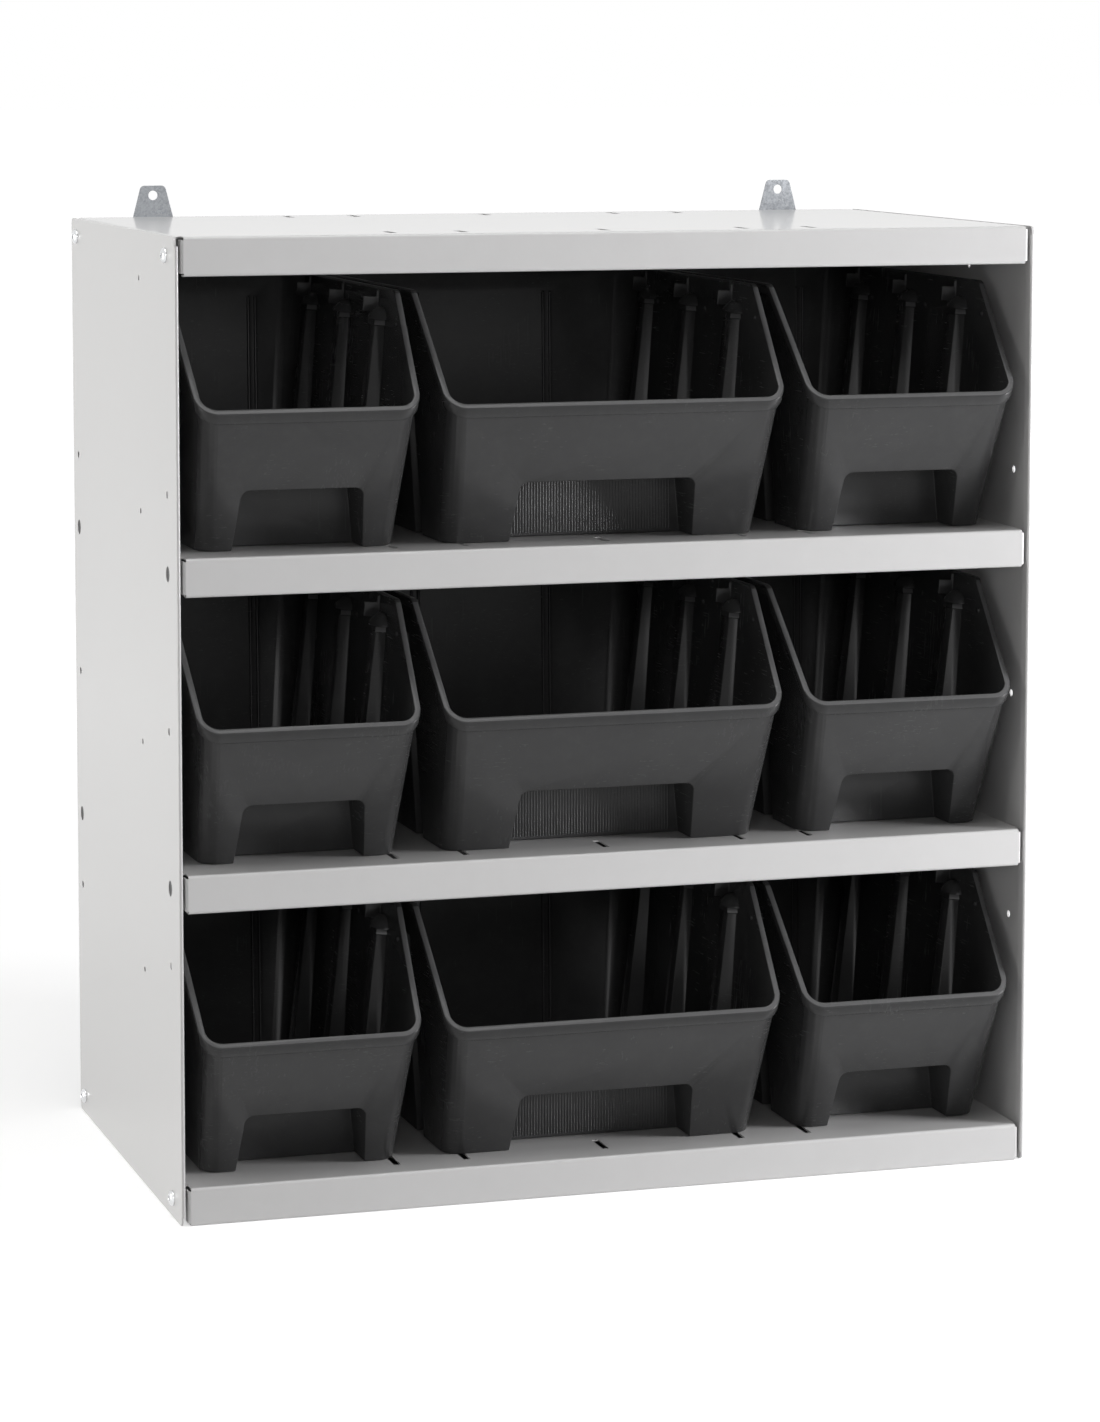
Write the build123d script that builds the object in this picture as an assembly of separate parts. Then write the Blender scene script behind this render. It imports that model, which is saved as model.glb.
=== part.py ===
from build123d import *
import os
from math import cos, radians, tan

# Bin rack: a folded sheet-steel case with four trays and nine moulded bins that pull out forwards.
# Millimetres. X to the right, Y to the back, Z up.
# The origin is on the floor, under the middle of the rack with its bins pushed home.

# Case
RACK_WIDTH = 700.0
RACK_DEPTH = 400.0
RACK_HEIGHT = 760.0
BIN_ROWS = 3

# Side panels
PANEL_SHEET = 1.5
PANEL_CORNER_R = 5.0
HEM_DEPTH = 10.0
FOLD_SETBACK = 7.0
REAR_FLANGE = 14.0

# Holes in the side panels
FRONT_COLUMN = 32.5
BACK_COLUMN = 22.5
SPARE_COLUMN = 129.0
SPARE_DROP = 22.0
SPARE_STEPS = 4
SMALL_HOLE_D = 6.0
SPARE_HOLE_D = 4.5
STUD_HOLE_D = 12.5

# Trays
TRAY_SHEET = 1.2
TRAY_HEIGHT = 30.0
TRAY_SETBACK = 0.5
TRAY_END_GAP = 2.0
TRAY_LIP = 9.0
TRAY_RETURN = 9.0
TRAY_RELIEF = 12.0
FLANGE_SHORTFALL = 8.0
BEND_R = 1.2
END_BEND_R = 3.8
FIXING_HEIGHT = 15.0
TRAY_HOLE_D = 6.4

# Divider slots in the decks
SLOT_WIDTH = 5.5
SLOT_LENGTH = 28.0
SLOT_INSET = 24.0
SLOT_OFFSETS = (-172.0, -115.0, 0.0, 115.0, 172.0)

# Back panel, spot-welded to the trays
BACK_SHEET = 1.0
BACK_MARGIN = 3.0

# Wall tabs
TAB_SHEET = 1.5
TAB_INSET = 68.5
TAB_BASE_WIDTH = 34.0
TAB_TOP_WIDTH = 20.5
TAB_RISE = 26.0
TAB_DROP = 56.0
TAB_CORNER_R = 4.0
TAB_HOLE_D = 8.0
TAB_HOLE_RISE = 17.8
TAB_RIVET_D = 4.8
TAB_RIVET_TAIL_D = 9.0
TAB_RIVET_TAIL = 1.4
TAB_RIVET_DROP = 42.0

# Panel screws and the weld nuts in the trays
SCREW_D = 6.0
SCREW_LENGTH = 12.0
SCREW_HEAD_D = 12.0
SCREW_HEAD = 3.4
SCREW_HEAD_RIM = 0.9
SCREW_DOME_D = 8.8
SCREW_DOME = 2.6
SCREW_CROWN_D = 4.0
NUT_FLATS = 10.0
NUT_HEIGHT = 5.0
THREAD_GAP = 0.05

# Shelf studs
STUD_FIT = 0.15
STUD_RECESS = 0.3
STUD_SHANK_D = 6.0
STUD_LENGTH = 7.0

# Bins
BIN_OVERHANG = 7.5
BIN_BACK_GAP = 17.5
BIN_HEADROOM = 17.0
BIN_LIFT = 0.3
BIN_GAP = 8.5
SMALL_BIN_WIDTH = 187.2
BIN_FRONT_HEIGHT = 109.0
BIN_WALL = 2.2
BIN_FLOOR = 2.5
FRONT_LEAN = 22.2
SIDE_DRAFT = 3.8
BACK_DRAFT = 1.5
MOUTH_SLOPE = 45.0
MOUTH_BEND_R = 12.0
FRONT_CORNER_R = 14.5
BACK_CORNER_R = 22.0

# Rim band round a bin's mouth
BAND_STEP = 2.6
BAND_HEIGHT = 8.0

# Grip recess in a bin's front
SMALL_GRIP_WIDTH = 104.0
WIDE_GRIP_WIDTH = 151.5
GRIP_HEIGHT = 48.0
GRIP_DEPTH = 31.0
GRIP_TAPER = 4.2
GRIP_R = 7.0

# Divider guides on a bin's side walls
GUIDE_COUNT = 3
GUIDE_START = 72.0
GUIDE_END = 44.0
GUIDE_FACE = 17.0
GUIDE_PROUD = 7.5
GUIDE_TOP_DROP = 28.5
GUIDE_LEAN = 2.5
GUIDE_FLANK = 15.0
SHOULDER_RISE = 4.8
SHOULDER_STEP = 3.0
CROWN_RISE = 9.0
CROWN_STEP = 3.5
HOOK_PROUD = 12.5
HOOK_SHEET = 2.0
HOOK_SETBACK = 13.0
HOOK_FOOT_DROP = 19.0
HOOK_TOP_DROP = 7.0
UPSTAND_DROP = 2.0
UPSTAND_PROUD = 2.0

# Divider grooves on a bin's back wall
SMALL_GROOVE_OFFSET = 45.0
WIDE_GROOVE_OFFSET = 59.0
GROOVE_WIDTH = 4.0
GROOVE_RIB = 2.0
GROOVE_RIB_PROUD = 1.4
GROOVE_DROP = 20.0

# Small round forms are drawn with flat sides, to keep the model light
HOLE_SIDES = 12
HIDDEN_SIDES = 8

# Places worked out from the sizes above
FRONT_Y = (BIN_OVERHANG - RACK_DEPTH) / 2
BACK_Y = FRONT_Y + RACK_DEPTH
HALF_WIDTH = RACK_WIDTH / 2
PANEL_IN_X = HALF_WIDTH - PANEL_SHEET
TAB_X = PANEL_IN_X - TAB_INSET
BACK_IN_Y = BACK_Y - PANEL_SHEET - BACK_SHEET
TRAY_FRONT_Y = FRONT_Y + TRAY_SETBACK
ROW_PITCH = (RACK_HEIGHT - TRAY_HEIGHT) / BIN_ROWS
TRAY_BASES = [row * ROW_PITCH for row in range(BIN_ROWS + 1)]
COLUMN_YS = (FRONT_Y + FRONT_COLUMN, BACK_Y - BACK_COLUMN)
SCREW_LEVELS = (TRAY_BASES[0] + FIXING_HEIGHT, TRAY_BASES[-1] + FIXING_HEIGHT)
STUD_LEVELS = [base + FIXING_HEIGHT for base in TRAY_BASES[1:-1]]
SPARE_PITCH = (SCREW_LEVELS[1] - SCREW_LEVELS[0]) / SPARE_STEPS
SMALL_LEVELS = [SCREW_LEVELS[0] + SPARE_PITCH * step for step in range(1, SPARE_STEPS)]
SPARE_LEVELS = [SCREW_LEVELS[0] + SPARE_PITCH * step - SPARE_DROP for step in range(1, SPARE_STEPS + 1)]
BIN_HEIGHT = ROW_PITCH - TRAY_HEIGHT - BIN_LIFT - BIN_HEADROOM
BIN_DEPTH = RACK_DEPTH - PANEL_SHEET - BACK_SHEET - BIN_BACK_GAP + BIN_OVERHANG
WIDE_BIN_WIDTH = 2 * PANEL_IN_X - 4 * BIN_GAP - 2 * SMALL_BIN_WIDTH
SMALL_BIN_X = PANEL_IN_X - BIN_GAP - SMALL_BIN_WIDTH / 2


def block(x0, x1, y0, y1, z0, z1):
    """A box given by its two corners."""
    middle = Pos((x0 + x1) / 2, (y0 + y1) / 2, (z0 + z1) / 2)
    return middle * Box(abs(x1 - x0), abs(y1 - y0), abs(z1 - z0))


def bar(diameter, z0, z1, sides):
    """A bar along Z with flat sides, as wide across its corners as the round bar that it stands for."""
    return Pos(0, 0, z0) * extrude(RegularPolygon(diameter / 2, sides), z1 - z0)


def bar_x(x0, x1, y, z, diameter, sides):
    """Such a bar along X."""
    return Pos(0, y, z) * Rot(0, 90, 0) * bar(diameter, x0, x1, sides)


def bar_y(x, y0, y1, z, diameter, sides):
    """Such a bar along Y."""
    return Pos(x, 0, z) * Rot(-90, 0, 0) * bar(diameter, y0, y1, sides)


def join(pieces):
    """All pieces as one solid or group."""
    result = pieces[0]
    for piece in pieces[1:]:
        result = result + piece
    return result


def folded(points, sheet, inner_r, plane, start, end):
    """A folded strip: a bent centre line, given the sheet's thickness and drawn out along the plane's normal."""
    line = FilletPolyline(*points, radius=inner_r + sheet / 2)
    return extrude(plane.offset(start) * trace(line, sheet), end - start)


def mirrored(shape):
    return mirror(shape, about=Plane.YZ)


# Sheet-metal case


def left_side_panel():
    web_front = FRONT_Y + PANEL_SHEET
    web_back = BACK_Y - BEND_R - PANEL_SHEET
    outline = Pos((web_front + web_back) / 2, RACK_HEIGHT / 2)
    outline *= RectangleRounded(web_back - web_front, RACK_HEIGHT, PANEL_CORNER_R)
    web = extrude(Plane.YZ.offset(-HALF_WIDTH) * outline, PANEL_SHEET)
    # The front edge is folded flat on itself, with a round nose.
    nose = Pos(-PANEL_IN_X, web_front) * Circle(PANEL_SHEET)
    nose &= Pos(-PANEL_IN_X, web_front - PANEL_SHEET) * Rectangle(4 * PANEL_SHEET, 2 * PANEL_SHEET)
    layer_y = (web_front + FRONT_Y + HEM_DEPTH) / 2
    layer = Pos(-PANEL_IN_X + PANEL_SHEET / 2, layer_y) * Rectangle(PANEL_SHEET, HEM_DEPTH - PANEL_SHEET)
    hem = extrude(Plane.XY.offset(FOLD_SETBACK) * (nose + layer), RACK_HEIGHT - 2 * FOLD_SETBACK)
    # The back edge is folded inwards, behind the back panel.
    skin = -HALF_WIDTH + PANEL_SHEET / 2
    rear_y = BACK_Y - PANEL_SHEET / 2
    rear = [(skin, web_back - 1), (skin, rear_y), (-HALF_WIDTH + REAR_FLANGE, rear_y)]
    flange = folded(rear, PANEL_SHEET, BEND_R, Plane.XY, FOLD_SETBACK, RACK_HEIGHT - FOLD_SETBACK)
    panel = web + hem + flange
    return panel - join(panel_holes())


def panel_holes():
    """Round cutters through the left side panel."""
    x0 = -HALF_WIDTH - 1
    x1 = -PANEL_IN_X + 1
    holes = []
    for y in COLUMN_YS:
        holes += [bar_x(x0, x1, y, z, TRAY_HOLE_D, HIDDEN_SIDES) for z in SCREW_LEVELS]
        holes += [bar_x(x0, x1, y, z, STUD_HOLE_D, HOLE_SIDES) for z in STUD_LEVELS]
        holes += [bar_x(x0, x1, y, z, SMALL_HOLE_D, HOLE_SIDES) for z in SMALL_LEVELS]
    holes += [bar_x(x0, x1, FRONT_Y + SPARE_COLUMN, z, SPARE_HOLE_D, HOLE_SIDES) for z in SPARE_LEVELS]
    return holes


def tray(base):
    """One folded tray: deck, front flange with lip and returns, end flanges and rear flange."""
    top = base + TRAY_HEIGHT
    half = TRAY_SHEET / 2
    deck_z = top - half
    bend = BEND_R + TRAY_SHEET
    end_bend = END_BEND_R + TRAY_SHEET
    front_x = PANEL_IN_X - PANEL_SHEET - TRAY_END_GAP
    flat_x = front_x - bend
    end_front = TRAY_FRONT_Y + TRAY_RELIEF
    end_back = BACK_IN_Y - TRAY_RELIEF / 2
    flange_end = base + FLANGE_SHORTFALL

    front = [(TRAY_FRONT_Y + TRAY_LIP, base + half), (TRAY_FRONT_Y + half, base + half),
             (TRAY_FRONT_Y + half, deck_z), (end_front + 1, deck_z)]
    rear = [(end_back - 1, deck_z), (BACK_IN_Y - half, deck_z), (BACK_IN_Y - half, flange_end)]
    end_x = -PANEL_IN_X + half
    end = [(-PANEL_IN_X + end_bend + 1, deck_z), (end_x, deck_z), (end_x, flange_end)]
    turn = [(-flat_x + 1, TRAY_FRONT_Y + half), (-front_x + half, TRAY_FRONT_Y + half),
            (-front_x + half, TRAY_FRONT_Y + TRAY_RETURN)]

    deck_x = PANEL_IN_X - end_bend
    deck = block(-deck_x, deck_x, end_front, end_back, top - TRAY_SHEET, top)
    front_flange = folded(front, TRAY_SHEET, BEND_R, Plane.YZ, -flat_x, flat_x)
    rear_flange = folded(rear, TRAY_SHEET, BEND_R, Plane.YZ, -flat_x, flat_x)
    # The XZ plane's normal is -Y, so the strip is drawn from the back to the front.
    left_end = folded(end, TRAY_SHEET, END_BEND_R, Plane.XZ, -end_back, -end_front)
    left_turn = folded(turn, TRAY_SHEET, BEND_R, Plane.XY, base + bend, top - bend)
    folds = [front_flange, rear_flange, left_end, left_turn, mirrored(left_end), mirrored(left_turn)]
    cutters = slot_cutters(top) + tray_hole_cutters(base)
    return join([deck] + folds) - join(cutters)


def slot_cutters(top):
    """Divider slots: a row behind the front edge and a row before the back."""
    cutters = []
    for start in (FRONT_Y + SLOT_INSET, BACK_Y - SLOT_INSET - SLOT_LENGTH):
        for x in SLOT_OFFSETS:
            cutters.append(block(x - SLOT_WIDTH / 2, x + SLOT_WIDTH / 2, start, start + SLOT_LENGTH,
                                 top - TRAY_SHEET - 1, top + 1))
    return cutters


def tray_hole_cutters(base):
    """Fixing holes in the end flanges, and in the top tray's rear flange those of the wall tabs."""
    z = base + FIXING_HEIGHT
    cutters = []
    inside = PANEL_IN_X - TRAY_SHEET - 1
    for x0, x1 in ((-PANEL_IN_X - 1, -inside), (inside, PANEL_IN_X + 1)):
        cutters += [bar_x(x0, x1, y, z, TRAY_HOLE_D, HIDDEN_SIDES) for y in COLUMN_YS]
    if base == TRAY_BASES[-1]:
        for x in (-TAB_X, TAB_X):
            y0 = BACK_IN_Y - TRAY_SHEET - 1
            cutters.append(bar_y(x, y0, BACK_IN_Y + 1, z, TAB_RIVET_D, HIDDEN_SIDES))
    return cutters


def back_panel():
    half = PANEL_IN_X - BACK_MARGIN
    sheet = block(-half, half, BACK_IN_Y, BACK_IN_Y + BACK_SHEET, BACK_MARGIN, RACK_HEIGHT - BACK_MARGIN)
    holes = [bar_y(x, BACK_IN_Y - 1, BACK_Y, z, TAB_RIVET_D, HIDDEN_SIDES) for x, z in tab_rivet_places()]
    return sheet - join(holes)


def tab_rivet_places():
    upper = TRAY_BASES[-1] + FIXING_HEIGHT
    return [(x, z) for x in (-TAB_X, TAB_X) for z in (upper, RACK_HEIGHT - TAB_RIVET_DROP)]


def wall_tab(x):
    """A plate behind the top tray that rises above it, narrower towards its hanging hole."""
    top = RACK_HEIGHT + TAB_RISE
    bottom = RACK_HEIGHT - TAB_DROP
    base = TAB_BASE_WIDTH / 2
    tip = TAB_TOP_WIDTH / 2
    outline = Polyline((-base, bottom), (base, bottom), (base, RACK_HEIGHT), (tip, top), (-tip, top),
                       (-base, RACK_HEIGHT), close=True)
    plate = make_face(outline)
    corners = plate.vertices().group_by(Axis.Y)
    plate = fillet(corners[0] + corners[-1], TAB_CORNER_R)
    plate -= Pos(0, RACK_HEIGHT + TAB_HOLE_RISE) * Circle(TAB_HOLE_D / 2)
    for place_x, place_z in tab_rivet_places():
        if place_x == x:
            plate -= Pos(0, place_z) * RegularPolygon(TAB_RIVET_D / 2, HIDDEN_SIDES)
    return Pos(x, BACK_IN_Y + BACK_SHEET + TAB_SHEET, 0) * extrude(Plane.XZ * plate, TAB_SHEET)


def wall_tab_rivets():
    """Rivets set flush with the tabs' backs, so that the rack hangs flat against the wall."""
    rivets = []
    for x, z in tab_rivet_places():
        inside = BACK_IN_Y - TRAY_SHEET if z > TRAY_BASES[-1] else BACK_IN_Y
        tail = inside - TAB_RIVET_TAIL
        rivet = bar_y(x, tail, BACK_IN_Y + BACK_SHEET + TAB_SHEET, z, TAB_RIVET_D, HIDDEN_SIDES)
        rivets.append(rivet + bar_y(x, tail, inside, z, TAB_RIVET_TAIL_D, HIDDEN_SIDES))
    return join(rivets)


# Fasteners


def panel_screw():
    """A domed screw along Z, its seat at Z = 0 and its head above."""
    steps = [(SCREW_HEAD_D, 0), (SCREW_HEAD_D, SCREW_HEAD_RIM), (SCREW_DOME_D, SCREW_DOME),
             (SCREW_CROWN_D, SCREW_HEAD)]
    rings = [Pos(0, 0, z) * RegularPolygon(diameter / 2, HOLE_SIDES) for diameter, z in steps]
    return loft(rings, ruled=True) + bar(SCREW_D, -SCREW_LENGTH, SCREW_HEAD_RIM, HIDDEN_SIDES)


def weld_nut():
    """A hexagon nut, its seat at Z = 0 and its body above."""
    nut = extrude(RegularPolygon(NUT_FLATS / 2, 6, major_radius=False), NUT_HEIGHT)
    return nut - bar(SCREW_D + 2 * THREAD_GAP, -1, NUT_HEIGHT + 1, HIDDEN_SIDES)


def shelf_stud():
    """A push-in stud: a disc that fills the panel's hole, and a shank through the tray's flange."""
    disc = bar(STUD_HOLE_D - 2 * STUD_FIT, 0, PANEL_SHEET - STUD_RECESS, HOLE_SIDES)
    return disc + bar(STUD_SHANK_D, -STUD_LENGTH, 0, HIDDEN_SIDES)


def fixing_group(shape, seat_x, levels, outward):
    """Copies of a fastener on the left panel's two columns, pointing out of or into the case."""
    turn = Rot(0, -90, 0) if outward else Rot(0, 90, 0)
    return join([Pos(seat_x, y, z) * turn * shape for y in COLUMN_YS for z in levels])


# Bins


class BinShape:
    """Where the walls of a tapered bin stand at any height. Y runs back from the rim's front edge."""

    def __init__(self, width):
        self.width = width
        top_half = width / 2 - BAND_STEP / cos(radians(SIDE_DRAFT))
        self.foot_half = top_half - BIN_HEIGHT * tan(radians(SIDE_DRAFT))
        self.foot_front = BAND_STEP / cos(radians(FRONT_LEAN)) + BIN_FRONT_HEIGHT * tan(radians(FRONT_LEAN))
        self.foot_back = BIN_DEPTH - BAND_STEP / cos(radians(BACK_DRAFT)) - BIN_HEIGHT * tan(radians(BACK_DRAFT))

    def half(self, z, inset):
        return self.foot_half + z * tan(radians(SIDE_DRAFT)) - inset / cos(radians(SIDE_DRAFT))

    def front(self, z, inset):
        return self.foot_front - z * tan(radians(FRONT_LEAN)) + inset / cos(radians(FRONT_LEAN))

    def back(self, z, inset):
        return self.foot_back + z * tan(radians(BACK_DRAFT)) - inset / cos(radians(BACK_DRAFT))

    def tapered(self, z0, inset):
        """A block with the bin's four drafted walls moved in by an inset, and its corners rounded."""
        z1 = BIN_HEIGHT
        side = Polyline((self.front(z0, inset), z0), (self.back(z0, inset), z0), (self.back(z1, inset), z1),
                        (self.front(z1, inset), z1), close=True)
        end = Polyline((-self.half(z0, inset), z0), (self.half(z0, inset), z0), (self.half(z1, inset), z1),
                       (-self.half(z1, inset), z1), close=True)
        block_ = across(make_face(side), self.width)
        block_ &= Pos(0, 2 * BIN_DEPTH, 0) * extrude(Plane.XZ * make_face(end), 4 * BIN_DEPTH)
        uprights = block_.edges().group_by(Axis.Z)[1]
        block_ = fillet(uprights.group_by(Axis.Y)[0], FRONT_CORNER_R - inset)
        uprights = block_.edges().filter_by(GeomType.LINE).group_by(Axis.Z)[1]
        return fillet(uprights.group_by(Axis.Y)[-1], BACK_CORNER_R - inset)


def across(side_view, width):
    """A side view drawn out across the whole width of a bin."""
    return extrude(Plane.YZ.offset(-width) * side_view, 2 * width)


def mouth_side(drop):
    """Side view of what lies below the mouth, or below a line at a drop from it."""
    slope = radians(MOUTH_SLOPE)
    level = BIN_HEIGHT - drop
    bend_y = (level - BIN_FRONT_HEIGHT + drop / cos(slope)) / tan(slope)
    ahead = (level + 1) / tan(slope)
    behind = 2 * BIN_DEPTH
    face = make_face(Polyline((bend_y - ahead, -1), (bend_y, level), (behind, level), (behind, -1), close=True))
    bend = face.vertices().sort_by_distance((bend_y, level, 0))[0]
    return fillet(bend, MOUTH_BEND_R - drop)


def grip_cutter(shape, width, grow):
    """The finger recess under a bin's front, or the hump that it makes inside."""
    foot = width / 2 + grow
    top = foot - GRIP_TAPER
    height = GRIP_HEIGHT + grow
    outline = make_face(Polyline((-foot, -1), (foot, -1), (top, height), (-top, height), close=True))
    corners = outline.vertices().group_by(Axis.Y)[-1]
    outline = fillet(corners, GRIP_R + grow)
    depth = shape.foot_front + GRIP_DEPTH + grow
    return Pos(0, depth, 0) * extrude(Plane.XZ * outline, depth + BIN_DEPTH / 4)


def flat_sided(lower, upper):
    """A solid between two outlines at two heights, with matching corners and parallel edges."""
    faces = [Face(Wire.make_polygon(outline)) for outline in (lower, upper)]
    for index in range(len(lower)):
        after = (index + 1) % len(lower)
        faces.append(Face(Wire.make_polygon([lower[index], lower[after], upper[after], upper[index]])))
    return Solid(Shell(faces))


def guide_plan(z, far, face, root):
    """Plan of a guide on a wall at X = 0: a trapezium rooted in the wall, with its face at far."""
    half = face / 2
    foot = half + (far + root) * tan(radians(GUIDE_FLANK))
    return [(root, -foot, z), (-far, -half, z), (-far, half, z), (root, foot, z)]


def pillar(top, face, root):
    """A guide's pillar, which leans in more than the wall does."""
    drop = top + 1
    foot_far = GUIDE_PROUD + drop * tan(radians(GUIDE_LEAN))
    return flat_sided(guide_plan(-1, foot_far, face, root), guide_plan(top, GUIDE_PROUD, face, root))


def against_side_wall(shape, inset, y, piece):
    """A piece made on a wall at X = 0, set against the right side wall at an inset from its outer skin."""
    return Pos(shape.half(0, inset), y, 0) * Rot(0, SIDE_DRAFT, 0) * piece


def side_guide():
    """One divider guide: a pillar with a shouldered crown, and behind it a hook plate with an upstand."""
    root = BIN_WALL / 4
    top = BIN_HEIGHT - GUIDE_TOP_DROP
    shoulder = top + SHOULDER_RISE
    tip = shoulder + CROWN_RISE
    narrow = GUIDE_FACE - 2 * SHOULDER_STEP
    far = GUIDE_PROUD - SHOULDER_STEP
    shoulder_plan = guide_plan(shoulder, far, narrow, root)
    slope = flat_sided(guide_plan(top, GUIDE_PROUD, GUIDE_FACE, root), shoulder_plan)
    crown = flat_sided(shoulder_plan, guide_plan(tip, far - CROWN_STEP, narrow - CROWN_STEP, root))

    hook_foot = BIN_HEIGHT - HOOK_FOOT_DROP
    hook_top = BIN_HEIGHT - HOOK_TOP_DROP
    hook_tip = BIN_HEIGHT - UPSTAND_DROP
    outline = Polyline((root, hook_foot), (-HOOK_PROUD, hook_foot), (-HOOK_PROUD, hook_top),
                       (-UPSTAND_PROUD, hook_top), (-UPSTAND_PROUD, hook_tip), (root, hook_tip), close=True)
    hook = Pos(0, HOOK_SETBACK, 0) * extrude(Plane.XZ * make_face(outline), HOOK_SHEET)
    return pillar(top, GUIDE_FACE, root) + slope + crown + hook


def guide_hollow():
    """What the mould leaves open behind a pillar, so that the wall keeps its thickness."""
    return pillar(BIN_HEIGHT - GUIDE_TOP_DROP - BIN_WALL, GUIDE_FACE - 2 * BIN_WALL, 1)


def back_groove(shape, x):
    """Two upright ribs on the back wall with a divider's groove between them."""
    ribs = []
    for side in (-1, 1):
        centre = side * (GROOVE_WIDTH + GROOVE_RIB) / 2
        ribs.append(block(centre - GROOVE_RIB / 2, centre + GROOVE_RIB / 2, -GROOVE_RIB_PROUD, BIN_WALL / 4,
                          0, BIN_HEIGHT - GROOVE_DROP))
    return Pos(x, shape.back(0, BIN_WALL), 0) * Rot(-BACK_DRAFT, 0, 0) * join(ribs)


def bin_solid(width, grip_width, groove_offset):
    """A moulded bin: X across, Y from its rim's front edge to the back, Z from its foot."""
    shape = BinShape(width)
    below_mouth = across(mouth_side(0), width)
    band_strip = below_mouth - across(mouth_side(BAND_HEIGHT), width)
    body = shape.tapered(0, 0) & below_mouth
    band = shape.tapered(0, -BAND_STEP) & band_strip
    cavity = shape.tapered(BIN_FLOOR, BIN_WALL)

    first = shape.foot_front + GUIDE_START
    pitch = (shape.foot_back - GUIDE_END - first) / (GUIDE_COUNT - 1)
    guide_ys = [first + pitch * index for index in range(GUIDE_COUNT)]
    guide = side_guide()
    hollow = guide_hollow()
    right_guides = [against_side_wall(shape, BIN_WALL, y, guide) for y in guide_ys]
    right_hollows = [against_side_wall(shape, 0, y, hollow) for y in guide_ys]
    grooves = [back_groove(shape, x) for x in (-groove_offset, groove_offset)]
    hump = grip_cutter(shape, grip_width, BIN_WALL)

    lining = right_guides + [mirrored(piece) for piece in right_guides] + grooves + [hump]
    hollows = right_hollows + [mirrored(piece) for piece in right_hollows]
    shell = (body + band) - (cavity - join(lining))
    return shell - grip_cutter(shape, grip_width, 0) - join(hollows)


def place_bin(solid, x, row):
    deck = TRAY_BASES[row] + TRAY_HEIGHT
    return Pos(x, FRONT_Y - BIN_OVERHANG, deck + BIN_LIFT) * solid


# Assembly


def build_parts():
    parts = {}
    left_panel = left_side_panel()
    parts["left_side_panel"] = left_panel
    parts["right_side_panel"] = mirrored(left_panel)

    tray_names = ["bottom_tray", "lower_shelf_tray", "upper_shelf_tray", "top_tray"]
    for name, base in zip(tray_names, TRAY_BASES):
        parts[name] = tray(base)

    parts["back_panel"] = back_panel()
    parts["left_wall_tab"] = wall_tab(-TAB_X)
    parts["right_wall_tab"] = wall_tab(TAB_X)
    parts["wall_tab_rivets"] = wall_tab_rivets()

    nut_seat = -PANEL_IN_X + TRAY_SHEET
    groups = {
        "panel_screws": fixing_group(panel_screw(), -HALF_WIDTH, SCREW_LEVELS, True),
        "weld_nuts": fixing_group(weld_nut(), nut_seat, SCREW_LEVELS, False),
        "shelf_studs": fixing_group(shelf_stud(), -PANEL_IN_X, STUD_LEVELS, True),
    }
    for name, group in groups.items():
        parts["left_" + name] = group
        parts["right_" + name] = mirrored(group)

    small_bin = bin_solid(SMALL_BIN_WIDTH, SMALL_GRIP_WIDTH, SMALL_GROOVE_OFFSET)
    wide_bin = bin_solid(WIDE_BIN_WIDTH, WIDE_GRIP_WIDTH, WIDE_GROOVE_OFFSET)
    for row, row_name in enumerate(["bottom", "middle", "top"]):
        parts[row_name + "_left_bin"] = place_bin(small_bin, -SMALL_BIN_X, row)
        parts[row_name + "_wide_bin"] = place_bin(wide_bin, 0, row)
        parts[row_name + "_right_bin"] = place_bin(small_bin, SMALL_BIN_X, row)
    return parts


os.makedirs("parts", exist_ok=True)
for node, shape in build_parts().items():
    export_step(shape, os.path.join("parts", node + ".step"))
    print(node, len(shape.solids()), round(shape.volume))
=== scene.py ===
import bmesh
import bpy
from math import cos, pi, radians, sin, tan
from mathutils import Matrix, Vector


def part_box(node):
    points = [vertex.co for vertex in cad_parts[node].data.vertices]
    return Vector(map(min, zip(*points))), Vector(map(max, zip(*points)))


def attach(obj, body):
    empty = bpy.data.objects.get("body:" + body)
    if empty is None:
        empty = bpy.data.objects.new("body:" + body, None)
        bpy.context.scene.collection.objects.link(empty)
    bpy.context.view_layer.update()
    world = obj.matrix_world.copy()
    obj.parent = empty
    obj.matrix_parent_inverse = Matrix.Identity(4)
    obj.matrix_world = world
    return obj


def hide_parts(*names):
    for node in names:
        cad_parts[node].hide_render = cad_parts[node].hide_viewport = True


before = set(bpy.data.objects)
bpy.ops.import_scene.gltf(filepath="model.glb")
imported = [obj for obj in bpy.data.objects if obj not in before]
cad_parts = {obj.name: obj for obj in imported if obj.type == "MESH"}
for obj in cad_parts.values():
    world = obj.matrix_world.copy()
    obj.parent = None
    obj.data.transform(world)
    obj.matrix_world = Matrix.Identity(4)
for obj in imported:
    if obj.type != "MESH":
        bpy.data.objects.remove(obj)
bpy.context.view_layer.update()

# Bin rack: a powder-coated steel case with nine moulded bins. Metres, in the same frame as the solids.
MM = 0.001

# The photograph's camera
CAMERA_PLACE = (-1.0517, -3.3781, 0.9002)
CAMERA_TURN = (radians(84.084), 0, radians(-16.963))
CAMERA_LENS = 109.58
CAMERA_SHIFT = (0.0231, -0.15)

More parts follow.
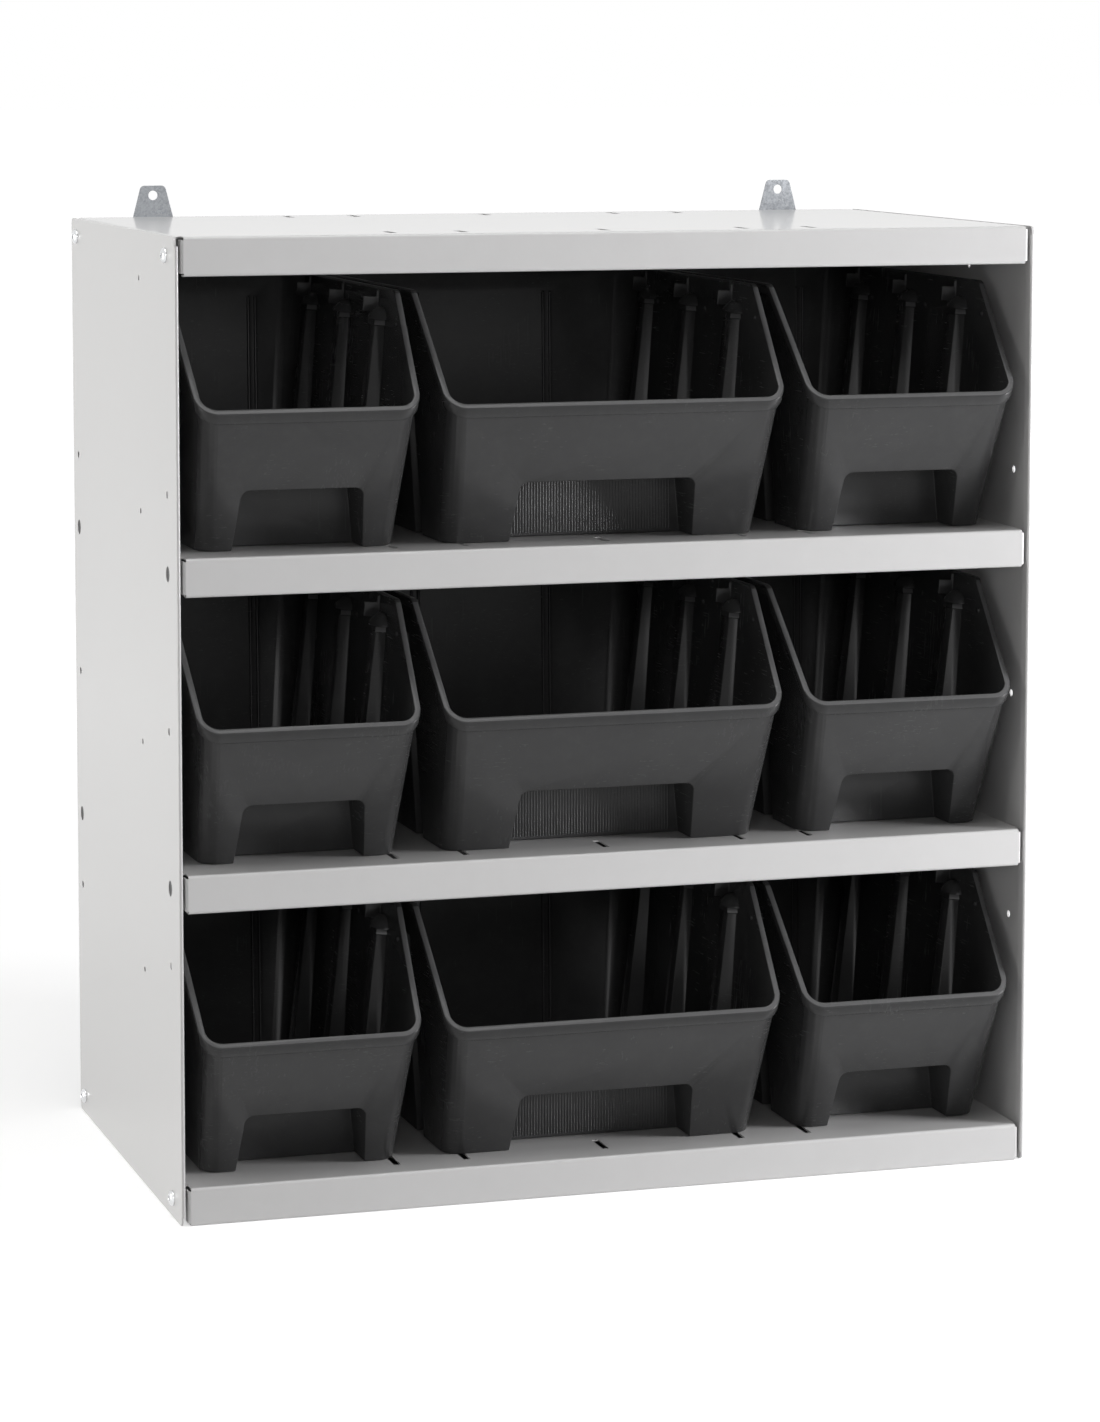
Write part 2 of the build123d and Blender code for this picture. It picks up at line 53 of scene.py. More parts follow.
# Places that the fixings take from the case
PANEL_X = 350.0 * MM
PANEL_IN_X = 348.5 * MM
FLANGE_IN_X = 347.3 * MM
COLUMN_MIDDLE = 8.75 * MM
COLUMN_SPACING = 345.0 * MM
CASE_MIDDLE = 380.0 * MM
SCREW_SPACING = 730.0 * MM
STUD_SPACING = 730.0 / 3 * MM
TAB_X = 280.0 * MM
UPPER_RIVET_Z = 745.0 * MM
LOWER_RIVET_Z = 718.0 * MM
UPPER_TAIL_Y = 200.05 * MM
LOWER_TAIL_Y = 201.25 * MM
UPPER_RIVET_LENGTH = 3.67
LOWER_RIVET_LENGTH = 2.47

# Rows and bays of the case
ROWS = ("bottom", "middle", "top")
BAYS = ("left", "wide", "right")

# Sizes that the bins' small forms take from the bins
BIN_HEIGHT = 196.033 * MM
BIN_FRONT_HEIGHT = 109.0 * MM
SIDE_DRAFT = radians(3.8)
BACK_DRAFT = radians(1.5)
FRONT_LEAN = radians(22.2)
BAND_STEP = 2.6 * MM
BIN_WALL = 2.2 * MM
GRIP_DEPTH = 31.0 * MM
GUIDE_COUNT = 3
GUIDE_START = 72.0 * MM
GUIDE_END = 44.0 * MM

# Edges of the bins: their easing, the distance at which points are one, and bends that are flat or hard
EDGE_RADIUS = 0.7 * MM
SAME_PLACE = 0.005 * MM
FLAT_BEND = radians(0.6)
HARD_BEND = radians(38)

# Guides' heads, in millimetres from the bin's foot and from the wall
GUIDE_ROOT = 0.55
GUIDE_FLANK = radians(15)
LEDGE_REACH = 7.55
LEDGE_HALF = 8.55
NOSE_SHARE = 0.4
LEDGE_STEPS = ((166.8, 0.0), (167.2, 1.2), (167.6, 1.5), (171.2, 0.7), (172.2, 0.2))
DOME_RADII = (10.8, 16.0, 12.0)
DOME_MIDDLE = 170.5
DOME_FOOT = 172.0
DOME_ROOT = 0.5

# Stop pips before the guides, and ribs in the wide grips
PIP_LEVEL = 170.0 * MM
PIP_LEAD = 45.0 * MM
PIP_SPREAD = 12.0 * MM
RIB_COUNT = 57
RIB_PITCH = 2.4 * MM
RIB_FOOT = 2.5
RIB_TOP = 44.0

# The white floor's lift for eyes: how far from the case it starts and ends to grow, and its share there
LIFT_NEAR = 0.8
LIFT_FAR = 2.6
LIFT_AT_CASE = 0.62

# Half of the floor's width, and the strength of the room's own light
FLOOR_HALF = 60.0
ROOM_LIGHT = 0.055


# Node graphs


class Wire:
    """One output of a node that takes part in sums. Each sign adds its Math node."""

    def __init__(self, graph, socket):
        self.graph = graph
        self.socket = socket

    def __add__(self, other):
        return self.graph.maths("ADD", self, other)

    __radd__ = __add__

    def __mul__(self, other):
        return self.graph.maths("MULTIPLY", self, other)

    __rmul__ = __mul__

    def clamped(self):
        return self.graph.maths("ADD", self, 0.0, use_clamp=True)


class Graph:
    """A node tree under construction."""

    def __init__(self, tree):
        self.tree = tree

    def add(self, kind, settings=None, inputs=None, output=0):
        """A node of that kind: its settings first, then the values or wires of its sockets."""
        node = self.tree.nodes.new(kind)
        for name, value in (settings or {}).items():
            setattr(node, name, value)
        for key, value in (inputs or {}).items():
            if isinstance(value, Wire):
                self.tree.links.new(value.socket, node.inputs[key])
            else:
                node.inputs[key].default_value = value
        return Wire(self, node.outputs[output]) if len(node.outputs) else None

    def maths(self, operation, a, b, use_clamp=False):
        return self.add("ShaderNodeMath", {"operation": operation, "use_clamp": use_clamp}, {0: a, 1: b})

    def blend(self, share, a, b):
        """One colour turning into another with a share from 0 to 1."""
        return self.add("ShaderNodeMix", {"data_type": "RGBA"}, {0: share, 6: a, 7: b}, 2)

    def span(self, value, low, high, to_low=0.0, to_high=1.0):
        """A value mapped from one span to another and held inside it."""
        ends = {0: value, 1: low, 2: high, 3: to_low, 4: to_high}
        return self.add("ShaderNodeMapRange", {"clamp": True}, ends)

    def white_to_eyes(self):
        """1 for rays from the camera, mirrors and glass, and 0 for the rays that light the object."""
        path = self.tree.nodes.new("ShaderNodeLightPath")
        total = 0.0
        for kind in ("Is Camera Ray", "Is Glossy Ray", "Is Transmission Ray"):
            total = Wire(self, path.outputs[kind]) + total
        return total.clamped()


class Finish(Graph):
    """A surface finish: one Principled shader fed by patterns on the piece's own coordinates."""

    def __init__(self, name):
        self.material = bpy.data.materials.new(name)
        self.material.use_nodes = True
        super().__init__(self.material.node_tree)
        self.tree.nodes.clear()
        self.place = self.add("ShaderNodeTexCoord", output="Object")

    def stretched(self, x, y, z):
        """The piece's coordinates, drawn out or pressed together along each axis."""
        return self.add("ShaderNodeMapping", {}, {"Vector": self.place, "Scale": (x, y, z)})

    def cloud(self, scale, detail=2.0, roughness=0.5, place=None, distortion=0.0):
        """Soft noise from 0 to 1, with so many lumps to the metre."""
        inputs = {"Vector": place or self.place, "Scale": scale, "Detail": detail, "Roughness": roughness,
                  "Distortion": distortion}
        return self.add("ShaderNodeTexNoise", {}, inputs)

    def cells(self, scale, output="Color"):
        """Crystals of random tone, with so many to the metre, or the distance from their middles."""
        return self.add("ShaderNodeTexVoronoi", {}, {"Vector": self.place, "Scale": scale}, output)

    def relief(self, height, depth, strength=1.0, under=None):
        """A surface relief whose height of 1 stands for a depth in metres."""
        inputs = {"Height": height, "Distance": depth, "Strength": strength}
        if under is not None:
            inputs["Normal"] = under
        return self.add("ShaderNodeBump", {}, inputs)

    def surface(self, **inputs):
        """Closes the finish with its shader."""
        names = {key.replace("_", " "): value for key, value in inputs.items()}
        shader = self.add("ShaderNodeBsdfPrincipled", {}, names)
        self.add("ShaderNodeOutputMaterial", {}, {"Surface": shader})
        return self.material


# Finishes


def powder_coat():
    """Light grey powder coat: an orange-peel skin over flat steel, with a glossy top."""
    f = Finish("powder_coat_light_grey")
    drift = f.cloud(2.3, 2.0)
    mottle = f.cloud(60.0, 3.0, 0.6)
    grain = f.cloud(900.0, 1.0)
    specks = f.span(f.cells(240.0, "Distance"), 0.05, 0.09, 1.0, 0.0)
    rare = f.span(f.cloud(31.0, 1.0), 0.66, 0.7)
    tone = f.span(0.6 * drift + 0.4 * mottle, 0.3, 0.7)
    colour = f.blend(tone, (0.66, 0.655, 0.65, 1), (0.69, 0.685, 0.68, 1))
    colour = f.blend(0.3 * specks * rare, colour, (0.42, 0.42, 0.41, 1))
    peel = f.relief(0.75 * f.cloud(330.0, 1.0) + 0.25 * grain, 0.00006, 0.5)
    rough = 0.24 + 0.08 * mottle + 0.05 * grain
    return f.surface(Base_Color=colour, Roughness=rough, Normal=peel, Coat_Weight=0.5,
                     Coat_Roughness=0.08)


def bin_plastic():
    """Black polypropylene: satin, with upright drag marks, flow clouds and scuffs, and a painted
    highlight: a paler colour on marked rim and ledge faces in place of the glints of the lamps.
    """
    f = Finish("polypropylene_black")
    drag = f.cloud(1.0, 3.0, 0.6, f.stretched(420.0, 420.0, 12.0))
    flow = f.cloud(14.0, 3.0, 0.55, distortion=0.6)
    grain = f.cloud(1500.0, 2.0, 0.6)
    scuffs = f.cloud(1.0, 4.0, 0.7, f.stretched(160.0, 40.0, 700.0))
    scuff = f.span(scuffs, 0.6, 0.72) * f.span(f.cloud(21.0, 2.0), 0.5, 0.62)
    dust = f.span(f.cloud(90.0, 4.0, 0.7), 0.45, 0.8)
    colour = f.blend(f.span(flow, 0.3, 0.7), (0.042, 0.042, 0.0425, 1), (0.05, 0.05, 0.0505, 1))
    colour = f.blend(0.2 * dust, colour, (0.08, 0.08, 0.079, 1))
    colour = f.blend(0.3 * scuff, colour, (0.11, 0.11, 0.109, 1))
    # Painted highlight: faces marked by the shell and the guide ledges turn paler, standing in for the
    # light that rims and ledges catch.
    rubbed = f.add("ShaderNodeAttribute", {"attribute_name": "rubbed"}, output="Fac")
    colour = f.blend(rubbed * f.span(dust, 0.0, 1.0, 0.85, 1.0), colour, (0.12, 0.12, 0.121, 1))
    rough = 0.18 + 0.08 * flow + 0.07 * drag + 0.14 * scuff
    skin = f.relief(grain, 0.00003, 0.45)
    skin = f.relief(drag, 0.00005, 0.3, skin)
    return f.surface(Base_Color=colour, Roughness=rough.clamped(), Normal=skin, Specular_IOR_Level=0.2)


def galvanised():
    """Hot-dip galvanised steel: fine frosted crystals, each with its own tone and gloss."""
    f = Finish("galvanised_spangle")
    warp = f.cloud(130.0, 2.0)
    tone = f.add("ShaderNodeSeparateColor", {}, {"Color": f.cells(620.0)})
    small = f.add("ShaderNodeSeparateColor", {}, {"Color": f.cells(1600.0)})
    share = f.span(0.5 * tone + 0.3 * small + 0.2 * warp, 0.15, 0.85)
    colour = f.blend(share, (0.24, 0.252, 0.268, 1), (0.41, 0.426, 0.447, 1))
    rough = 0.34 + 0.22 * tone + 0.08 * warp
    relief = f.relief(0.7 * tone + 0.3 * warp, 0.00008, 0.5)
    return f.surface(Base_Color=colour, Roughness=rough, Metallic=0.8, Normal=relief)


def bright_zinc():
    """Bright zinc plate on the screws, nuts and rivets."""
    f = Finish("bright_zinc_plate")
    smear = f.cloud(500.0, 3.0, 0.6)
    stain = f.span(f.cloud(90.0, 2.0), 0.4, 0.75)
    colour = f.blend(stain, (0.76, 0.77, 0.78, 1), (0.6, 0.61, 0.62, 1))
    rough = 0.16 + 0.14 * smear
    relief = f.relief(smear, 0.00003, 0.4)
    return f.surface(Base_Color=colour, Roughness=rough, Metallic=1.0, Normal=relief)


def stud_plastic():
    """Dark grey moulded plastic of the shelf studs."""
    f = Finish("stud_plastic_dark")
    grain = f.cloud(2200.0, 2.0)
    flow = f.cloud(220.0, 2.0)
    colour = f.blend(flow, (0.028, 0.028, 0.028, 1), (0.05, 0.05, 0.05, 1))
    relief = f.relief(grain, 0.00004, 0.5)
    return f.surface(Base_Color=colour, Roughness=0.42 + 0.15 * flow, Normal=relief)


def floor_white():
    """White floor: matte, with a lift that only the camera and mirrors see, as on a white sweep."""
    f = Finish("white_sweep")
    tone = f.blend(f.cloud(3.0), (0.78, 0.78, 0.78, 1), (0.8, 0.8, 0.8, 1))
    matte = f.add("ShaderNodeBsdfDiffuse", {}, {"Color": tone})
    # The lift stops under the case, so that the deck's slots look dark. It is full where the lamps
    # don't reach.
    x, y = [f.maths("ABSOLUTE", f.add("ShaderNodeSeparateXYZ", {}, {0: f.place}, axis), 0)
            for axis in (0, 1)]
    outside = f.maths("MAXIMUM", f.span(x, 0.33, 0.345), f.span(y, 0.17, 0.19))
    reach = f.add("ShaderNodeVectorMath", {"operation": "LENGTH"}, {0: f.place}, 1)
    lift = f.span(reach, LIFT_NEAR, LIFT_FAR, LIFT_AT_CASE, 1.0) * outside
    glow = f.add("ShaderNodeEmission", {}, {"Color": lift * f.white_to_eyes(), "Strength": 1.0})
    both = f.add("ShaderNodeAddShader", {}, {0: matte, 1: glow})
    f.add("ShaderNodeOutputMaterial", {}, {"Surface": both})
    return f.material


PAINT = powder_coat()
PLASTIC = bin_plastic()
SPANGLE = galvanised()
ZINC = bright_zinc()
STUD = stud_plastic()


def wear(obj, finish):
    """Gives a piece one finish all over."""
    obj.data.materials.clear()
    obj.data.materials.append(finish)


# Mesh work


def new_piece(name, mesh):
    """A mesh as an object in the scene."""
    obj = bpy.data.objects.new(name, mesh)
    bpy.context.scene.collection.objects.link(obj)
    return obj


def mesh_from(work, name):
    """The finished work as a mesh."""
    mesh = bpy.data.meshes.new(name)
    work.to_mesh(mesh)
    work.free()
    return mesh


def outward_and_soft(work, sharpest):
    """Turns the faces outwards, and shades softly over edges that bend less than an angle."""
    bmesh.ops.recalc_face_normals(work, faces=work.faces)
    for face in work.faces:
        face.smooth = True
    for edge in work.edges:
        edge.smooth = edge.calc_face_angle(0) < sharpest


def lofted(work, rings):
    """A closed skin from ring to ring, with a face on each end."""
    count = len(rings[0])
    for low, high in zip(rings, rings[1:]):
        for k in range(count):
            n = (k + 1) % count
            work.faces.new((low[k], low[n], high[n], high[k]))
    work.faces.new(rings[0])
    work.faces.new(rings[-1])


def settled(obj):
    """The piece with its modifiers worked in, as a plain mesh at the origin."""
    bpy.context.view_layer.update()
    shape = obj.evaluated_get(bpy.context.evaluated_depsgraph_get())
    mesh = bpy.data.meshes.new_from_object(shape)
    obj.modifiers.clear()
    obj.data = mesh
    mesh.name = obj.name
    return obj


def eased_copy(node, name):
    """A copy of a solid with its hard edges eased, as moulding leaves them."""
    work = bmesh.new()
    work.from_mesh(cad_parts[node].data)
    bmesh.ops.remove_doubles(work, verts=work.verts, dist=SAME_PLACE)
    bmesh.ops.dissolve_limit(work, angle_limit=FLAT_BEND, verts=work.verts, edges=work.edges)
    for face in work.faces:
        face.smooth = True
    obj = new_piece(name, mesh_from(work, name))
    ease = obj.modifiers.new("eased edges", "BEVEL")
    ease.limit_method = "ANGLE"
    ease.angle_limit = HARD_BEND
    ease.width = EDGE_RADIUS
    ease.segments = 2
    ease.use_clamp_overlap = False
    ease.harden_normals = True
    return settled(obj)


def mark_painted_highlight(obj, facing):
    """Marks the faces that get a painted highlight: a paler colour standing in for the glint of the lamps
    on them.
    """
    marks = obj.data.attributes.new("rubbed", "FLOAT", "FACE")
    for face, mark in zip(obj.data.polygons, marks.data):
        mark.value = 1.0 if facing(face.normal) else 0.0


def turned(name, profile, sides):
    """A body of revolution about Z, closed at both ends.

    A ring of the profile is a radius and a height, with the word "hexagon" where it isn't round.
    """
    work = bmesh.new()
    rings = []
    for radius, height, *shape in profile:
        ring = []
        for k in range(sides if radius > 1e-9 else 1):
            angle = 2 * pi * k / sides
            reach = radius
            if "hexagon" in shape:
                reach = radius / cos((angle + pi / 6) % (pi / 3) - pi / 6)
            ring.append(work.verts.new((reach * cos(angle), reach * sin(angle), height)))
        rings.append(ring)
    for a, b in zip(rings, rings[1:]):
        for k in range(sides):
            n = (k + 1) % sides
            corners = dict.fromkeys((a[k % len(a)], a[n % len(a)], b[n % len(b)], b[k % len(b)]))
            if len(corners) > 2:
                work.faces.new(list(corners))
    outward_and_soft(work, radians(32))
    return new_piece(name, mesh_from(work, name))


# Sets of small pieces, laid out by geometry nodes


class Layout(Graph):
    """A geometry node tree with named inputs, which adds copies of a pattern piece to what is there."""

    def __init__(self, name, inputs):
        super().__init__(bpy.data.node_groups.new(name, "GeometryNodeTree"))
        face = self.tree.interface
        face.new_socket("Geometry", in_out="INPUT", socket_type="NodeSocketGeometry")
        self.keys = {}
        for label, kind in inputs.items():
            socket = face.new_socket(label, in_out="INPUT", socket_type="NodeSocket" + kind)
            self.keys[label] = socket.identifier
        face.new_socket("Geometry", in_out="OUTPUT", socket_type="NodeSocketGeometry")
        given = self.tree.nodes.new("NodeGroupInput")
        self.given = {socket.name: Wire(self, socket) for socket in given.outputs if socket.name}

    def close(self, points, turn):
        """Sets the pattern out on the points, makes the copies real and joins them to what is there."""
        copy = self.add("GeometryNodeObjectInfo", {}, {"Object": self.given["Pattern"]}, "Geometry")
        copies = self.add("GeometryNodeInstanceOnPoints", {},
                          {"Points": points, "Instance": copy, "Rotation": turn})
        group = self.tree.nodes.new("GeometryNodeJoinGeometry")
        for part in (copies, self.given["Geometry"]):
            self.tree.links.new(part.socket, group.inputs[0])
        real = self.add("GeometryNodeRealizeInstances", {}, {"Geometry": Wire(self, group.outputs[0])})
        done = self.add("GeometryNodeSetMaterial", {},
                        {"Geometry": real, "Material": self.given["Finish"]})
        self.tree.links.new(done.socket, self.tree.nodes.new("NodeGroupOutput").inputs["Geometry"])

    def lay(self, obj, **values):
        """One more set of copies on a piece, with the values of the tree's inputs."""
        modifier = obj.modifiers.new("set", "NODES")
        modifier.node_group = self.tree
        for name, value in values.items():
            modifier[self.keys[name.replace("_", " ")]] = value


def corners_layout():
    """Copies at the corners of a rectangle."""
    inputs = {"Pattern": "Object", "Finish": "Material", "Centre": "Vector", "Stand": "Vector",
              "Turn": "Vector", "Spacing A": "Float", "Spacing B": "Float"}
    g = Layout("corners", inputs)
    given = g.given
    grid = g.add("GeometryNodeMeshGrid", {},
                 {"Size X": given["Spacing A"], "Size Y": given["Spacing B"],
                  "Vertices X": 2, "Vertices Y": 2})
    stood = g.add("GeometryNodeTransform", {},
                  {"Geometry": grid, "Translation": given["Centre"], "Rotation": given["Stand"]})
    g.close(stood, given["Turn"])
    return g


def row_layout():
    """Copies in a straight row from a start, one step apart."""
    inputs = {"Pattern": "Object", "Finish": "Material", "Start": "Vector", "Step": "Vector",
              "Turn": "Vector", "Count": "Int"}
    g = Layout("row", inputs)
    given = g.given
    line = g.add("GeometryNodeMeshLine", {},
                 {"Count": given["Count"], "Start Location": given["Start"], "Offset": given["Step"]})
    g.close(line, given["Turn"])
    return g


CORNERS = corners_layout()
ROW = row_layout()


def drop(*patterns):
    """Takes patterns out of the scene once their copies are real."""
    for obj in patterns:
        bpy.data.objects.remove(obj)


# Fixings


def screw_profile():
    """Domed head with a hexagon socket, its seat at 0, over a threaded shank."""
    profile = [(0, 1.1), (2.0, 1.2, "hexagon"), (2.0, 3.05, "hexagon"), (2.45, 3.38), (3.4, 3.22),
               (4.4, 2.8), (5.3, 2.1), (5.8, 1.4), (6.0, 0.8), (6.0, 0.12), (5.85, 0.0), (3.0, 0.0)]
    for turn in range(11):
        height = -0.6 - turn
        profile += [(3.0, height), (2.55, height - 0.5)]
    profile += [(2.9, -11.4), (2.3, -12.0), (0, -12.0)]
    return [(radius * MM, height * MM, *shape) for radius, height, *shape in profile]


def scaled(*profile):
    """A profile that is given in millimetres."""
    return [(radius * MM, height * MM) for radius, height in profile]


def rivet(name, length):
    """A rivet with its tail's end at 0, as long as its tail and the sheets that it holds."""
    tail = ((0, 0), (1.2, 0), (3.4, 0.25), (4.5, 1.0), (4.5, 1.4))
    return turned(name, scaled(*tail, (2.2, 1.4), (2.2, length), (0, length)), 28)


def zinc_fixings():
    """Panel screws, their weld nuts and the wall tabs' rivets, as one piece on the case."""
    screw = turned("screw_pattern", screw_profile(), 36)
    nut = turned("nut_pattern", scaled((0, 0), (5.5, 0), (5.77, 0.3), (5.77, 4.3), (5.1, 5), (0, 5)), 6)
    upper = rivet("upper_rivet_pattern", UPPER_RIVET_LENGTH)
    lower = rivet("lower_rivet_pattern", LOWER_RIVET_LENGTH)
    piece = new_piece("zinc_fixings", bpy.data.meshes.new("zinc_fixings"))
    for side in (-1, 1):
        outward = side * pi / 2
        for pattern, seat_x, turn in ((screw, PANEL_X, outward), (nut, FLANGE_IN_X, -outward)):
            CORNERS.lay(piece, Pattern=pattern, Finish=ZINC, Stand=(0, -pi / 2, 0), Turn=(0, turn, 0),
                        Centre=(side * seat_x, COLUMN_MIDDLE, CASE_MIDDLE),
                        Spacing_A=SCREW_SPACING, Spacing_B=COLUMN_SPACING)
    rivets = ((upper, UPPER_TAIL_Y, UPPER_RIVET_Z), (lower, LOWER_TAIL_Y, LOWER_RIVET_Z))
    for pattern, tail, height in rivets:
        ROW.lay(piece, Pattern=pattern, Finish=ZINC, Turn=(-pi / 2, 0, 0), Count=2,
                Start=(-TAB_X, tail, height), Step=(2 * TAB_X, 0, 0))
    settled(piece)
    drop(screw, nut, upper, lower)
    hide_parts("left_panel_screws", "right_panel_screws", "left_weld_nuts", "right_weld_nuts",
                "wall_tab_rivets")
    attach(piece, "frame")


def shelf_studs():
    """Push-in studs in the panels' large holes, each with a dished face."""
    profile = scaled((0, 0.75), (3.2, 0.78), (4.4, 1.0), (5.4, 1.2), (5.85, 1.2), (6.0, 1.05), (6.0, 0),
                     (3.0, 0), (3.0, -6.2), (2.4, -7.0), (0, -7.0))
    stud = turned("stud_pattern", profile, 36)
    piece = new_piece("shelf_studs", bpy.data.meshes.new("shelf_studs"))
    for side in (-1, 1):
        CORNERS.lay(piece, Pattern=stud, Finish=STUD, Stand=(0, -pi / 2, 0), Turn=(0, side * pi / 2, 0),
                    Centre=(side * PANEL_IN_X, COLUMN_MIDDLE, CASE_MIDDLE),
                    Spacing_A=STUD_SPACING, Spacing_B=COLUMN_SPACING)
    settled(piece)
    drop(stud)
    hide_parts("left_shelf_studs", "right_shelf_studs")
    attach(piece, "frame")


zinc_fixings()
shelf_studs()


# Bins


def grip_rib():
    """One upright half-round rib, its root along X = 0 and its crest towards -Y."""
    work = bmesh.new()
    outline = ((-0.9, 0.2), (-0.7, -0.1), (-0.3, -0.25), (0.3, -0.25), (0.7, -0.1), (0.9, 0.2))
    ends = [[work.verts.new((x * MM, y * MM, z * MM)) for x, y in outline] for z in (RIB_FOOT, RIB_TOP)]
    lofted(work, ends)
    bmesh.ops.recalc_face_normals(work, faces=work.faces)
    return new_piece("grip_rib_pattern", mesh_from(work, "grip_rib_pattern"))


def ledge_ring(work, side, level, proud):
    """The ledge's plan at one level, against a wall at X = 0 and narrower away from it."""
    reach = LEDGE_REACH + NOSE_SHARE * proud
    half = LEDGE_HALF + proud
    foot = half + (reach + GUIDE_ROOT) * tan(GUIDE_FLANK)
    plan = ((GUIDE_ROOT, -foot), (-reach, -half), (-reach, half), (GUIDE_ROOT, foot))
    return [work.verts.new((side * x * MM, y * MM, level * MM)) for x, y in plan]


def guide_ledge(side):
    """The small ledge round the head of a divider guide."""
    work = bmesh.new()
    lofted(work, [ledge_ring(work, side, level, proud) for level, proud in LEDGE_STEPS])
    outward_and_soft(work, radians(40))
    ledge = new_piece("guide_ledge_pattern", mesh_from(work, "guide_ledge_pattern"))
    # The ledge's front face, turned forward and up, gets the painted highlight in place of the lamp's
    # glint.
    mark_painted_highlight(ledge, lambda normal: normal.y < -0.9 and normal.z > 0.1)
    return ledge


def guide_dome(side):
    """The dome over a guide's ledge, cut off flat at its foot and just inside the wall."""
    work = bmesh.new()
    bmesh.ops.create_uvsphere(work, u_segments=32, v_segments=20, radius=1)
    for vert in work.verts:
        x, y, z = [coordinate * radius for coordinate, radius in zip(vert.co, DOME_RADII)]
        vert.co = (x * MM, y * MM, (DOME_MIDDLE + z) * MM)
    foot = (0, 0, DOME_FOOT * MM)
    wall = (side * DOME_ROOT * MM, 0, 0)
    for place, away in ((foot, (0, 0, -1)), (wall, (side, 0, 0))):
        parts = work.verts[:] + work.edges[:] + work.faces[:]
        cut = bmesh.ops.bisect_plane(work, geom=parts, plane_co=place, plane_no=away, clear_outer=True)
        edges = [part for part in cut["geom_cut"] if isinstance(part, bmesh.types.BMEdge)]
        bmesh.ops.edgeloop_fill(work, edges=edges)
    outward_and_soft(work, radians(40))
    return new_piece("guide_dome_pattern", mesh_from(work, "guide_dome_pattern"))


def small_forms(node, rib, pip, ledges, domes):
    """What the mould adds to a bin: the guides' ledges and domes, stop pips, and ribs in a wide grip."""
    low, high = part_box(node)
    width = high[0] - low[0]
    middle = (high[0] + low[0]) / 2
    foot_half = width / 2 - BAND_STEP / cos(SIDE_DRAFT) - BIN_HEIGHT * tan(SIDE_DRAFT)
    foot_front = low[1] + BAND_STEP / cos(FRONT_LEAN) + BIN_FRONT_HEIGHT * tan(FRONT_LEAN)
    foot_back = high[1] - BAND_STEP / cos(BACK_DRAFT) - BIN_HEIGHT * tan(BACK_DRAFT)
    wall_foot = foot_half - BIN_WALL / cos(SIDE_DRAFT)
    wall = wall_foot + PIP_LEVEL * tan(SIDE_DRAFT)
    first = foot_front + GUIDE_START
    pitch = (foot_back - GUIDE_END - first) / (GUIDE_COUNT - 1)
    piece = new_piece(node + "_small_forms", bpy.data.meshes.new(node + "_small_forms"))
    for side in (-1, 1):
        ROW.lay(piece, Pattern=pip, Finish=PLASTIC, Count=GUIDE_COUNT,
                Turn=(0, -side * (pi / 2 - SIDE_DRAFT), 0),
                Start=(middle + side * wall, first - PIP_LEAD, low[2] + PIP_LEVEL),
                Step=(0, pitch + PIP_SPREAD, 0))
        for pattern in (ledges[side], domes[side]):
            ROW.lay(piece, Pattern=pattern, Finish=PLASTIC, Count=GUIDE_COUNT,
                    Turn=(0, side * SIDE_DRAFT, 0), Step=(0, pitch, 0),
                    Start=(middle + side * wall_foot, first, low[2]))
    if "wide" in node:
        ROW.lay(piece, Pattern=rib, Finish=PLASTIC, Count=RIB_COUNT, Turn=(0, 0, 0),
                Step=(RIB_PITCH, 0, 0),
                Start=(middle - RIB_PITCH * (RIB_COUNT - 1) / 2, foot_front + GRIP_DEPTH, low[2]))
    settled(piece)
    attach(piece, node)


def bins():
    """The eased shell and the small forms of every bin."""
    rib = grip_rib()
    pip = turned("pip_pattern", scaled((0, 1.5), (1.3, 1.3), (2.1, 0.7), (2.4, -0.3), (0, -0.3)), 16)
    ledges = {side: guide_ledge(side) for side in (-1, 1)}
    domes = {side: guide_dome(side) for side in (-1, 1)}
    for row in ROWS:
        for bay in BAYS:
            node = f"{row}_{bay}_bin"
            shell = eased_copy(node, node + "_shell")
            wear(shell, PLASTIC)
            # Rim faces that look forward and up get the painted highlight in place of the light they
            # catch.
            mark_painted_highlight(shell, lambda normal: normal.y < -0.6 and normal.z > 0.6)
            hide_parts(node)
            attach(shell, node)
            small_forms(node, rib, pip, ledges, domes)
    drop(rib, pip, *ledges.values(), *domes.values())


bins()


# Case

for node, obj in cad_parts.items():
    if node.endswith("wall_tab"):
        wear(obj, SPANGLE)
    elif node.endswith(("panel", "tray")):
        wear(obj, PAINT)


# Studio


